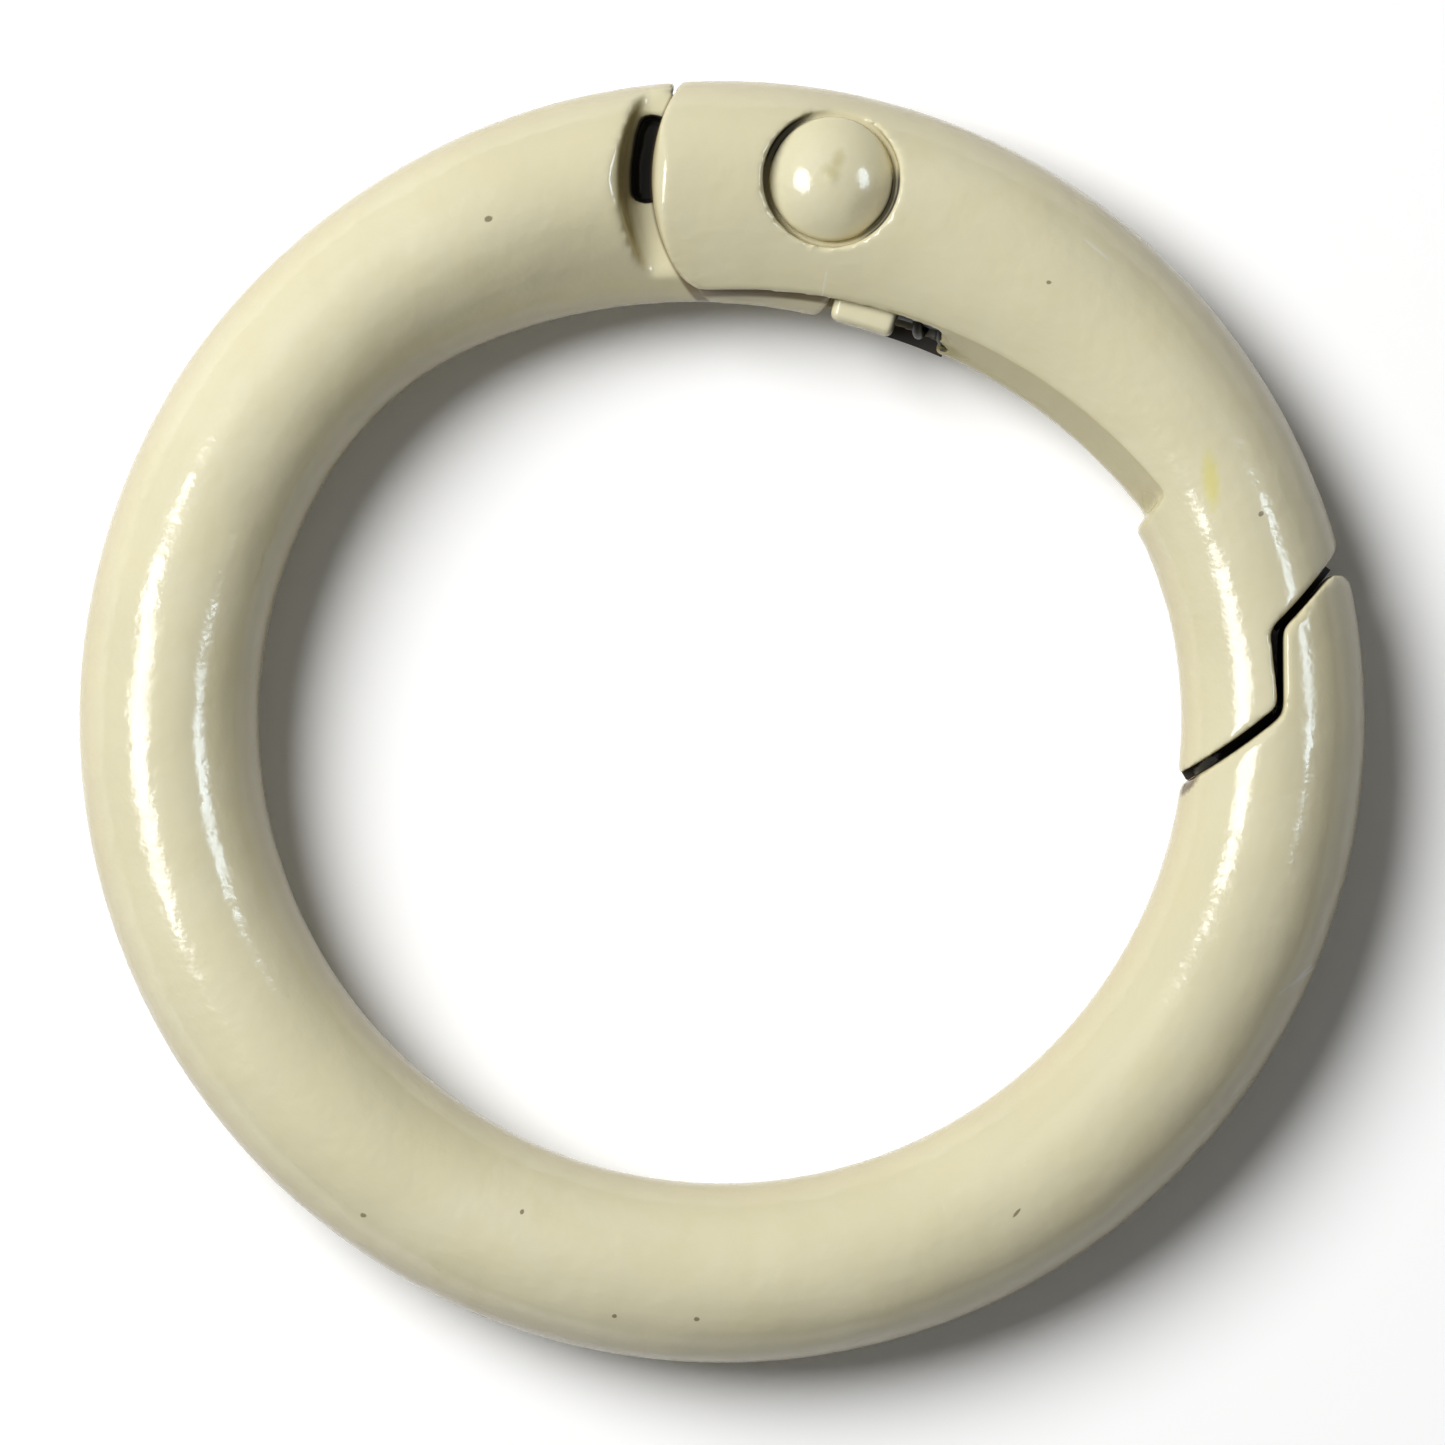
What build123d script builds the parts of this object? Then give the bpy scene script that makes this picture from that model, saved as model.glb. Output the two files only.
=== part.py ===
from build123d import *
import math
import os

# Spring key ring: a round die-cast ring with a sprung gate that opens inwards.
# It lies flat, as in use on a desk: Z is the axis of the ring, z = 0 is its underside.
# Ring angles run anticlockwise from +X. All sizes are in millimetres and degrees.

# Ring
OUTER_DIAMETER = 35.0
SECTION_DIAMETER = 4.87
BULGE_EASE = 0.3
RING_BULGE_FLATNESS = 0.65
RING_BULGE_SPREAD = 2.7
RING_BULGE_CENTRE = (-0.84, -3.95)
BULGE_START_ANGLE = 150.0

# Gate
GATE_INSET = 0.1
GATE_BULGE_FLATNESS = 0.25
GATE_WALL_SPREAD = 1.52
GATE_WALL_CENTRE = (0.3, -3.0)
GATE_WALL_RIM_SPREAD = 0.16
GATE_WALL_RIM_SHIFT = 0.91
GATE_WALL_RIM_SHIFT_ANGLE = 75.0
GATE_WALL_END_ANGLE = 25.0
GATE_WALL_END_SLANT = 28.0
GATE_BULGE_SPARE = 0.3
GATE_BULGE_END_ANGLE = 14.0
HINGE_END_RADIUS = 4.87
HINGE_RIM_ROUND = 0.6
HINGE_CORNER_ROUND = 0.9

# Hinge of the ring
PIVOT_ANGLE = 78.6
SHOULDER_RADIUS = 5.6
SHOULDER_DRAFT = 8.0
SHOULDER_FOOT_ROUND = 0.25
SHOULDER_RIM_ROUND = 0.4
TONGUE_THICKNESS = 2.0
TONGUE_CLEARANCE = 0.1
TONGUE_TOP_SLOPE = 5.0
HUB_RADIUS = 1.85
HUB_CLEARANCE = 0.1
END_CLEARANCE = 0.08
ROOT_SLOT_DIRECTION = 173.5
ROOT_SLOT_SPREAD = 27.0
ROOT_SLOT_WIDTH = 1.05
ROOT_SLOT_OUTER_RADIUS = 5.42
ROOT_SLOT_ROUND = 0.3
ROOT_SLOT_WEB = 0.5

# Pin
PIN_DIAMETER = 2.2
PIN_FIT = 0.01
PIN_RUNNING_CLEARANCE = 0.05
HEAD_DIAMETER = 3.4
HEAD_SEAT_GAP = 0.16
CHEEK_UNDER_HEAD = 0.38
HEAD_UNDER_GAP = 0.03
HEAD_RIM = 0.25
HEAD_RISE = 0.7
HEAD_NUB_RADIUS = 0.18
HEAD_NUB_RISE = 0.05
TAIL_RISE = 0.5
DOME_FULLNESS = 0.78

# Plunger, its bay and the spring
PLUNGER_DIRECTION = -16.7
CAM_BASE_RADIUS = 2.67
CAM_REACH = 1.0
CAM_CLEARANCE = 0.12
CAM_RUN_ON = 15.6
LIP_SWING_SPARE = 6.2
CONTACT_GAP = 0.03
PLUNGER_LENGTH = 1.77
PLUNGER_HEIGHT = 1.9
PLUNGER_THICKNESS = 1.96
PLUNGER_EDGE_ROUND = 0.22
PLUNGER_GUIDE_CLEARANCE = 0.08
STEM_DIAMETER = 0.8
STEM_LENGTH = 2.6
GATE_OPENING = 26.0
TRAVEL_SPARE = 0.05
SPRING_OUTER_DIAMETER = 1.56
SPRING_WIRE = 0.3
SPRING_TURNS = 8
SPRING_BORE_CLEARANCE = 0.07
SPRING_BORE_DEPTH = 4.6
BORE_OVERLAP = 1.0
SPRING_END_GAP = 0.02

# Nose joint
STEP_TOP_ANGLE = 9.38
STEP_FOOT_ANGLE = 1.52
STEP_TOP_INSET = 0.034
NOSE_OUTER_GAP = 0.24
NOSE_INNER_GAP = 0.28
STEP_GAP = 0.14
STEP_TAPER_GAP = 0.22
STEP_ROUND = 0.5
GATE_TIP_ROUND = 0.6
NOSE_TIP_ROUND = 0.45

# How far a rounding tool stands off the skin, so that the two never only touch
TOOL_SPARE = 0.03

# How far the blanks run before they are trimmed
LIP_BLANK_ANGLE = 70.0
HINGE_BLANK_ANGLE = 104.0
HINGE_EASE_ANGLE = 30.0
NOSE_SPARE_ANGLE = 16.0

# Sections along a blank, points round a section's inner side, points along the cam
SECTION_COUNT = 14
INNER_POINTS = 10
CAM_POINTS = 8

HALF = SECTION_DIAMETER / 2
EYE_RADIUS = OUTER_DIAMETER / 2 - SECTION_DIAMETER
RING_RADIUS = OUTER_DIAMETER / 2 - HALF
GATE_RADIUS = RING_RADIUS - GATE_INSET
RING_BULGE_RADIUS = EYE_RADIUS + RING_BULGE_SPREAD
GATE_WALL_RADIUS = EYE_RADIUS + GATE_WALL_SPREAD
NOSE_START_ANGLE = STEP_FOOT_ANGLE - NOSE_SPARE_ANGLE
NOSE_END_ANGLE = STEP_TOP_ANGLE + NOSE_SPARE_ANGLE
NOSE_FAR_ANGLE = NOSE_END_ANGLE + NOSE_SPARE_ANGLE
MIDDLE = Pos(0, 0, HALF)
FAR = OUTER_DIAMETER
TALL = 2 * SECTION_DIAMETER


def polar(radius, angle, centre=(0.0, 0.0)):
    """The plan point at a radius and an angle about a centre."""
    turn = math.radians(angle)
    return (centre[0] + radius * math.cos(turn), centre[1] + radius * math.sin(turn))


PIVOT = polar(GATE_RADIUS, PIVOT_ANGLE)
STEP_TOP = polar(RING_RADIUS - STEP_TOP_INSET, STEP_TOP_ANGLE)
STEP_FOOT = polar(RING_RADIUS, STEP_FOOT_ANGLE)
NOSE_OUTER_RADIUS = math.dist(PIVOT, STEP_TOP)
NOSE_INNER_RADIUS = math.dist(PIVOT, STEP_FOOT)
PLUNGER_TRAVEL = CAM_BASE_RADIUS * math.radians(GATE_OPENING)
PLUNGER_START = CAM_REACH + CONTACT_GAP
PLUNGER_END = PLUNGER_START + PLUNGER_LENGTH
BAY_END = PLUNGER_END + PLUNGER_TRAVEL + TRAVEL_SPARE
BORE_END = BAY_END + SPRING_BORE_DEPTH
SLOT_HALF = TONGUE_THICKNESS / 2 + TONGUE_CLEARANCE
HEAD_SEAT_FLOOR = SLOT_HALF + CHEEK_UNDER_HEAD


def at_pivot(shape):
    """A plan shape or solid drawn about the origin, moved to the pivot."""
    return Pos(PIVOT[0], PIVOT[1], 0) * shape


def section_plane(angle):
    """The upright plane through the ring axis at a ring angle, x outwards and y up."""
    turn = math.radians(angle)
    outwards = (math.cos(turn), math.sin(turn), 0)
    along = (math.sin(turn), -math.cos(turn), 0)
    return Plane(origin=(0, 0, HALF), x_dir=outwards, z_dir=along)


def reach(angle, radius, centre):
    """Distance from the ring axis to a circle about another centre, at a ring angle."""
    turn = math.radians(angle)
    offset = centre[0] * math.cos(turn) + centre[1] * math.sin(turn)
    away = centre[0] ** 2 + centre[1] ** 2
    return offset + math.sqrt(offset ** 2 - away + radius ** 2)


def section(centre, inner_radius, flatness):
    """A round section whose inner side is drawn out smoothly to reach an inner radius."""
    stretch = centre - HALF - inner_radius
    stretch = (stretch + math.hypot(stretch, BULGE_EASE)) / 2
    width = HALF + stretch
    droop = flatness * stretch / (stretch + BULGE_EASE)
    inner_points = []
    for turn in evenly(0, math.pi, INNER_POINTS):
        across = centre - width * math.sin(turn)
        height = HALF * math.cos(turn) * (1 - droop * math.sin(turn) ** 2)
        inner_points.append((across, height))
    outer = ThreePointArc((centre, -HALF), (centre + HALF, 0), (centre, HALF))
    inner = Spline(*inner_points, tangents=[(-1, 0), (1, 0)])
    return make_face([outer, inner])


def evenly(first, last, count):
    """Evenly spaced values from first to last."""
    return [first + (last - first) * step / count for step in range(count + 1)]


def ring_centre(angle):
    """Radius of the section's centre: it eases in a little towards the hinge."""
    share = (BULGE_START_ANGLE - angle) / HINGE_EASE_ANGLE
    share = min(max(share, 0.0), 1.0)
    ease = share * share * (3 - 2 * share)
    return RING_RADIUS - GATE_INSET * ease


def ring_blank():
    """The ring from beyond the lip, anticlockwise round to beyond the nose."""
    sections = []
    for angle in evenly(LIP_BLANK_ANGLE, BULGE_START_ANGLE, SECTION_COUNT):
        inner = reach(angle, RING_BULGE_RADIUS, RING_BULGE_CENTRE)
        face = section(ring_centre(angle), inner, RING_BULGE_FLATNESS)
        sections.append(section_plane(angle) * face)
    sweep_angle = 360 + NOSE_END_ANGLE - BULGE_START_ANGLE
    return loft(sections) + revolve(sections[-1], Axis.Z, sweep_angle)


def gate_blank():
    """The gate from beyond its hinge end, clockwise round to beyond its tip."""
    sections = []
    for angle in evenly(GATE_BULGE_END_ANGLE, HINGE_BLANK_ANGLE, SECTION_COUNT):
        inner = reach(angle, GATE_WALL_RADIUS - GATE_BULGE_SPARE, GATE_WALL_CENTRE)
        face = section(GATE_RADIUS, inner, GATE_BULGE_FLATNESS)
        sections.append(section_plane(angle) * face)
    sweep_angle = GATE_BULGE_END_ANGLE - NOSE_START_ANGLE
    return loft(sections) + revolve(sections[0], Axis.Z, -sweep_angle)


def prism(face, half_height):
    """A plan face made solid, evenly about the middle plane of the ring."""
    return MIDDLE * extrude(face, half_height, both=True)


def swing(point, angle):
    """A point given from the pivot, turned about the pivot."""
    turn = math.radians(angle)
    x = point[0] * math.cos(turn) - point[1] * math.sin(turn)
    y = point[0] * math.sin(turn) + point[1] * math.cos(turn)
    return (x, y)


def plunger_point(along, across):
    """A point from the pivot: along the plunger's way, and across it towards the pivot."""
    return swing((along, across), PLUNGER_DIRECTION)


def plunger_box(first, last, low, high):
    """A plan rectangle that is square to the plunger's way, drawn from the pivot."""
    corners = [(first, low), (last, low), (last, high), (first, high)]
    return make_face(Polyline(*[plunger_point(*corner) for corner in corners], close=True))


def disc(radius):
    """A plan disc about the pivot."""
    return at_pivot(make_face(CenterArc((0, 0), radius, 0, 360)))


def direction(point):
    """The angle of a point given from the pivot."""
    return math.degrees(math.atan2(point[1], point[0]))


def rim_arc(edge, top, rounding):
    """A quarter arc in a turned profile, from a wall at an edge radius in to its top height."""
    bend = rounding * (1 - math.sqrt(0.5))
    middle = (edge - math.copysign(bend, rounding), top - abs(bend))
    return ThreePointArc((edge, top - abs(rounding)), middle, (edge - rounding, top))


def cam_point(opening):
    """The point of the lip that pushes the plunger when the gate is open by an angle."""
    along = CAM_REACH + CAM_BASE_RADIUS * math.radians(opening)
    return swing(plunger_point(along, -CAM_BASE_RADIUS), -opening)


def tongue_outline():
    """The tongue within the gate: hub, cam lip and the wide part that joins the ring."""
    cam_start = -math.degrees(CAM_REACH / CAM_BASE_RADIUS)
    cam = [cam_point(opening) for opening in evenly(cam_start, GATE_OPENING + CAM_RUN_ON, CAM_POINTS)]
    start_angle = direction(cam[0])
    hub_top = polar(HUB_RADIUS, 90 - TONGUE_TOP_SLOPE)
    hub_side = polar(HUB_RADIUS, start_angle)
    hub_middle = polar(HUB_RADIUS, (start_angle + 90 - TONGUE_TOP_SLOPE) / 2)
    root_top = (-FAR, hub_top[1] + (FAR + hub_top[0]) * math.tan(math.radians(TONGUE_TOP_SLOPE)))
    edges = [
        Line(root_top, hub_top),
        ThreePointArc(hub_top, hub_middle, hub_side),
        Line(hub_side, cam[0]),
        Spline(*cam),
        Line(cam[-1], (cam[-1][0], -FAR)),
        Line((cam[-1][0], -FAR), (-FAR, -FAR)),
        Line((-FAR, -FAR), root_top),
    ]
    return at_pivot(make_face(edges))


def gate_slot_outline():
    """The room for the tongue, the lip's swing and the plunger, in the gate's middle layer."""
    roof = HUB_RADIUS + HUB_CLEARANCE
    roof_top = polar(roof, 90 - TONGUE_TOP_SLOPE)
    rise = math.tan(math.radians(TONGUE_TOP_SLOPE))
    root_top = (-FAR, roof_top[1] + (FAR + roof_top[0]) * rise)
    tail = make_face(Polyline((0, -FAR), (-FAR, -FAR), root_top, roof_top, (0, 0), close=True))
    swing_radius = CAM_BASE_RADIUS + CAM_CLEARANCE
    swing_end = direction(cam_point(0)) + GATE_OPENING + LIP_SWING_SPARE
    far_corner = polar(2 * swing_radius, swing_end)
    quarter = make_face(Polyline((0, 0), (0, -FAR), (far_corner[0], -FAR), far_corner, close=True))
    guide = PLUNGER_HEIGHT / 2 + PLUNGER_GUIDE_CLEARANCE - CAM_BASE_RADIUS
    bay = plunger_box(0, BAY_END, -FAR, guide)
    return disc(roof) + at_pivot(tail) + (disc(swing_radius) & at_pivot(quarter)) + at_pivot(bay)


def round_corners(area, points, rounding):
    """A plan area with the corners nearest to some points rounded."""
    corners = [area.vertices().sort_by_distance((*point, 0))[0] for point in points]
    return fillet(corners, rounding)


def nose_cut(outer_radius, inner_radius, step_top, step_foot, rounding):
    """The plan area on the gate's side of the nose joint: two arcs about the pivot and a step."""
    slope = (step_foot[0] - step_top[0]) / (step_foot[1] - step_top[1])
    above = (step_top[0] + slope * HALF, step_top[1] + HALF)
    below = (step_foot[0] - slope * FAR, step_foot[1] - FAR)
    inside = make_face(Polyline(above, below, (-FAR, below[1]), (-FAR, above[1]), close=True))
    area = disc(outer_radius) + (disc(inner_radius) & inside)
    return round_corners(area, [step_top, step_foot], rounding)


def root_slot():
    """The slot beside the shoulder, curved about the pivot and sunk in from both faces."""
    band = disc(ROOT_SLOT_OUTER_RADIUS) - disc(ROOT_SLOT_OUTER_RADIUS - ROOT_SLOT_WIDTH)
    first = polar(FAR, ROOT_SLOT_DIRECTION - ROOT_SLOT_SPREAD / 2)
    last = polar(FAR, ROOT_SLOT_DIRECTION + ROOT_SLOT_SPREAD / 2)
    wedge = at_pivot(make_face(Polyline((0, 0), first, last, close=True)))
    slot = band & wedge
    slot = fillet(slot.vertices(), ROOT_SLOT_ROUND)
    return prism(slot, HALF) - prism(slot, ROOT_SLOT_WEB / 2)


def shoulder_tool(side):
    """What is cleared above or below the tongue, drafted from the tongue to the ring's skin."""
    foot = TONGUE_THICKNESS / 2
    top = HALF + TOOL_SPARE
    wall_top = top - SHOULDER_RIM_ROUND
    edge = SHOULDER_RADIUS + math.tan(math.radians(SHOULDER_DRAFT)) * (wall_top - foot)
    outside = edge + SHOULDER_RIM_ROUND
    profile = make_face([
        Polyline((0, foot), (SHOULDER_RADIUS, foot), (edge, wall_top)),
        rim_arc(edge, top, -SHOULDER_RIM_ROUND),
        Polyline((outside, top), (outside, TALL), (0, TALL), (0, foot)),
    ])
    corner = profile.vertices().sort_by_distance((SHOULDER_RADIUS, foot, 0))[0]
    profile = fillet(corner, SHOULDER_FOOT_ROUND)
    tool = revolve(Plane.XZ * profile, Axis.Z)
    if side < 0:
        tool = mirror(tool, Plane.XY)
    return at_pivot(MIDDLE * tool)


def ring_wedge(first, last):
    """The plan area between two ring angles."""
    return make_face(Polyline((0, 0), polar(FAR, first), polar(FAR, last), close=True))


def make_ring_body():
    """The ring: C-shaped casting with shoulder, tongue, lip, slot and pointed nose."""
    body = ring_blank()
    body -= shoulder_tool(1)
    body -= shoulder_tool(-1)
    hinge_room = disc(HINGE_END_RADIUS + END_CLEARANCE) + ring_wedge(NOSE_FAR_ANGLE, PIVOT_ANGLE)
    body -= prism(hinge_room - tongue_outline(), TALL)
    body -= root_slot()
    body -= at_pivot(MIDDLE * Cylinder(PIN_DIAMETER / 2 + PIN_FIT, TALL))
    step_top = (STEP_TOP[0] + STEP_GAP + STEP_TAPER_GAP, STEP_TOP[1])
    step_foot = (STEP_FOOT[0] + STEP_GAP, STEP_FOOT[1])
    outer_radius = NOSE_OUTER_RADIUS + NOSE_OUTER_GAP
    inner_radius = NOSE_INNER_RADIUS + NOSE_INNER_GAP
    cut = nose_cut(outer_radius, inner_radius, step_top, step_foot, STEP_ROUND)
    near_nose = ring_wedge(NOSE_START_ANGLE, NOSE_FAR_ANGLE)
    kept = Circle(OUTER_DIAMETER / 2 + TOOL_SPARE) - (cut & near_nose)
    tip = polar(OUTER_DIAMETER / 2, STEP_TOP_ANGLE)
    return body & prism(round_corners(kept, [tip], NOSE_TIP_ROUND), TALL)


def along_plunger(shape, along):
    """A solid made along its own z, turned to the plunger's way and set at a distance on it."""
    point = plunger_point(along, -CAM_BASE_RADIUS)
    turned = Rot(0, 90, 0) * shape
    return Pos(PIVOT[0] + point[0], PIVOT[1] + point[1], HALF) * Rot(0, 0, PLUNGER_DIRECTION) * turned


def rod(radius, first, last):
    """A round rod or bore on the plunger's line, between two distances."""
    return along_plunger(Cylinder(radius, last - first), (first + last) / 2)


def wall_circle(height):
    """Centre and radius of the gate's inner wall at a height beyond its upright belt."""
    share = height / HALF
    centre = polar(share * GATE_WALL_RIM_SHIFT, GATE_WALL_RIM_SHIFT_ANGLE, GATE_WALL_CENTRE)
    return centre, GATE_WALL_RADIUS + share * GATE_WALL_RIM_SPREAD


def wall_cone(side, belt):
    """What the drafted wall clears on one side of the belt."""
    sections = []
    for height in (0, 2 * HALF):
        centre, radius = wall_circle(height)
        sections.append(Pos(*centre, HALF + side * (belt + height)) * Circle(radius))
    return loft(sections)


def gate_wall_tool():
    """What is cleared inside the gate's inner wall: drafted, with an upright belt beside the bay's floor."""
    belt = Pos(*GATE_WALL_CENTRE, HALF - SLOT_HALF / 2) * Cylinder(GATE_WALL_RADIUS, SLOT_HALF)
    tool = wall_cone(1, 0) + belt + wall_cone(-1, SLOT_HALF)
    foot = polar(GATE_RADIUS - HALF, GATE_WALL_END_ANGLE)
    outside = polar(FAR, GATE_WALL_END_ANGLE + GATE_WALL_END_SLANT, foot)
    inside = polar(FAR, GATE_WALL_END_ANGLE + GATE_WALL_END_SLANT + 180, foot)
    beyond_step = make_face(Polyline(inside, (2 * FAR, -FAR), (2 * FAR, FAR), outside, close=True))
    return tool - prism(beyond_step, TALL)


def meeting(first, first_radius, second, second_radius):
    """The left one of the two points where two circles meet."""
    apart = math.dist(first, second)
    along = (first_radius ** 2 - second_radius ** 2 + apart ** 2) / (2 * apart)
    across = math.sqrt(first_radius ** 2 - along ** 2)
    way = ((second[0] - first[0]) / apart, (second[1] - first[1]) / apart)
    points = [(first[0] + along * way[0] + side * across * way[1],
               first[1] + along * way[1] - side * across * way[0]) for side in (1, -1)]
    return min(points)


def towards(start, goal, distance):
    """The plan point at a distance from a start, towards a goal."""
    share = distance / math.dist(start, goal)
    return (start[0] + share * (goal[0] - start[0]), start[1] + share * (goal[1] - start[1]))


def hinge_corner(height):
    """The plan area beyond the rounded corner between the hinge end and the inner wall."""
    centre, radius = wall_circle(height)
    middle = meeting(PIVOT, HINGE_END_RADIUS - HINGE_CORNER_ROUND, centre, radius + HINGE_CORNER_ROUND)
    sharp = meeting(PIVOT, HINGE_END_RADIUS, centre, radius)
    on_end = towards(PIVOT, middle, HINGE_END_RADIUS)
    off_end = towards(PIVOT, middle, HINGE_END_RADIUS + HINGE_CORNER_ROUND)
    on_wall = towards(centre, middle, radius)
    off_wall = towards(centre, middle, radius - HINGE_CORNER_ROUND)
    beyond = towards(middle, sharp, 4 * HINGE_CORNER_ROUND)
    return make_face([
        ThreePointArc(on_end, towards(middle, sharp, HINGE_CORNER_ROUND), on_wall),
        Polyline(on_wall, off_wall, beyond, off_end, on_end),
    ])


def hinge_corner_tool(side, belt):
    """Rounds one cheek's corner between its hinge end and the inner wall."""
    low = SLOT_HALF - TONGUE_CLEARANCE - belt
    sections = []
    for height in (low, 2 * HALF):
        sections.append(Pos(0, 0, HALF + side * (belt + height)) * hinge_corner(height))
    return loft(sections)


def hinge_end():
    """The gate's round end about the pivot, with softened rims."""
    top = HALF + TOOL_SPARE
    inside = HINGE_END_RADIUS - HINGE_RIM_ROUND
    wall_top = (HINGE_END_RADIUS, top - HINGE_RIM_ROUND)
    half = make_face([
        Polyline((inside, top), (0, top), (0, 0), (HINGE_END_RADIUS, 0), wall_top),
        rim_arc(HINGE_END_RADIUS, top, HINGE_RIM_ROUND),
    ])
    profile = half + mirror(half, Plane.XZ)
    return at_pivot(MIDDLE * revolve(Plane.XZ * profile, Axis.Z))


def make_gate_arm():
    """The gate: two cheeks at the hinge, a drafted inner wall, a spring bore and a stepped tip."""
    gate = gate_blank()
    beyond_pivot = Pos(PIVOT[0] + FAR / 2, 0) * Rectangle(FAR, 2 * FAR)
    gate &= hinge_end() + prism(beyond_pivot, TALL)
    kept = nose_cut(NOSE_OUTER_RADIUS, NOSE_INNER_RADIUS, STEP_TOP, STEP_FOOT, STEP_ROUND)
    kept &= Circle(GATE_RADIUS + HALF + TOOL_SPARE)
    tip = polar(OUTER_DIAMETER / 2, STEP_TOP_ANGLE)
    gate &= prism(round_corners(kept, [tip], GATE_TIP_ROUND), TALL)
    gate -= gate_wall_tool()
    gate -= hinge_corner_tool(1, 0)
    gate -= hinge_corner_tool(-1, SLOT_HALF)
    gate -= prism(gate_slot_outline(), SLOT_HALF)
    gate -= rod(SPRING_OUTER_DIAMETER / 2 + SPRING_BORE_CLEARANCE, BAY_END - BORE_OVERLAP, BORE_END)
    gate -= at_pivot(MIDDLE * Cylinder(PIN_DIAMETER / 2 + PIN_RUNNING_CLEARANCE, TALL))
    seat_radius = HEAD_DIAMETER / 2 + HEAD_SEAT_GAP
    for side in (1, -1):
        seat = Pos(0, 0, HALF + side * (HEAD_SEAT_FLOOR + HALF)) * Cylinder(seat_radius, 2 * HALF)
        gate -= at_pivot(seat)
    return gate


def make_pivot_pin():
    """The rivet: a round shank with a domed head that has a centre nub, and a flatter tail."""
    low = HEAD_SEAT_FLOOR + HEAD_UNDER_GAP
    rim = low + HEAD_RIM
    top = rim + HEAD_RISE
    tail = rim + TAIL_RISE
    radius = HEAD_DIAMETER / 2
    shank = PIN_DIAMETER / 2
    nub = HEAD_NUB_RADIUS
    nub_top = top + HEAD_NUB_RISE
    dome_middle = (radius / 2, rim + DOME_FULLNESS * HEAD_RISE)
    tail_middle = (radius / 2, -rim - DOME_FULLNESS * TAIL_RISE)
    profile = make_face([
        ThreePointArc((radius, rim), dome_middle, (nub, top)),
        Polyline((nub, top), (nub / 2, nub_top), (0, nub_top), (0, -tail), (nub, -tail)),
        ThreePointArc((nub, -tail), tail_middle, (radius, -rim)),
        Polyline((radius, -rim), (radius, -low), (shank, -low), (shank, low), (radius, low), (radius, rim)),
    ])
    return at_pivot(MIDDLE * revolve(Plane.XZ * profile, Axis.Z))


def make_plunger():
    """The plunger: a block with rounded edges, and a stem inside the spring."""
    block = Box(PLUNGER_THICKNESS, PLUNGER_HEIGHT, PLUNGER_LENGTH)
    block = fillet(block.edges(), PLUNGER_EDGE_ROUND)
    plunger = along_plunger(block, PLUNGER_START + PLUNGER_LENGTH / 2)
    return plunger + rod(STEM_DIAMETER / 2, PLUNGER_END - PLUNGER_EDGE_ROUND, PLUNGER_END + STEM_LENGTH)


def make_return_spring():
    """The coil spring from the plunger's block to the end of its bore."""
    length = BORE_END - PLUNGER_END - 2 * SPRING_END_GAP - SPRING_WIRE
    radius = (SPRING_OUTER_DIAMETER - SPRING_WIRE) / 2
    path = Helix(length / SPRING_TURNS, length, radius)
    wire = Plane(origin=path @ 0, z_dir=path % 0) * Circle(SPRING_WIRE / 2)
    coil = sweep(wire, path, is_frenet=True)
    return along_plunger(coil, PLUNGER_END + SPRING_END_GAP + SPRING_WIRE / 2)


parts = {
    "ring_body": make_ring_body(),
    "gate_arm": make_gate_arm(),
    "pivot_pin": make_pivot_pin(),
    "plunger": make_plunger(),
    "return_spring": make_return_spring(),
}
os.makedirs("parts", exist_ok=True)
for name, solid in parts.items():
    print(name, solid.volume, solid.is_valid, len(solid.solids()))
    export_step(solid, f"parts/{name}.step")
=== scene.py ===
import math
from collections import namedtuple

import bpy
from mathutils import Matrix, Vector


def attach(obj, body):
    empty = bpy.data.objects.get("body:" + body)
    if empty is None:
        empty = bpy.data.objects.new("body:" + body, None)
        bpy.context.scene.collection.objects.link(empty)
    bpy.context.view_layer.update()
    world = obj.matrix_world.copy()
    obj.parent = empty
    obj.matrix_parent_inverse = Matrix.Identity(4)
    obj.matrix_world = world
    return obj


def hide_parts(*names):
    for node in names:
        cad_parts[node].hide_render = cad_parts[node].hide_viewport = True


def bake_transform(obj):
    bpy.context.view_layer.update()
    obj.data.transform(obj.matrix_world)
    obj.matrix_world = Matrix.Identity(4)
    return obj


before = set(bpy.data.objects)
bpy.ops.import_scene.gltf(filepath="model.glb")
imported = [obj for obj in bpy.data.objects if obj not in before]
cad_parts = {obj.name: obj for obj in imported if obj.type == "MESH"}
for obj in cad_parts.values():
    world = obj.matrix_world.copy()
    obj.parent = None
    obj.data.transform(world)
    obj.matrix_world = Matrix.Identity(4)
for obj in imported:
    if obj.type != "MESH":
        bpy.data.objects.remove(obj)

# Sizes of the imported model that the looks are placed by, in metres.
MM = 0.001
HALF_SECTION = 2.435 * MM
RING_RADIUS = 15.065 * MM
PIVOT = Vector((2.958, 14.670, 2.435)) * MM

# The picture's own frame: its width in pixels, the ring's centre and the scale.
PICTURE_WIDTH = 1445
RING_CENTRE_PIXEL = (722, 720)
PIXELS_PER_MM = 36.74

CAMERA_HEIGHT = 0.4
CAMERA_NEAR = 0.01
SENSOR_WIDTH = 36.0

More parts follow.
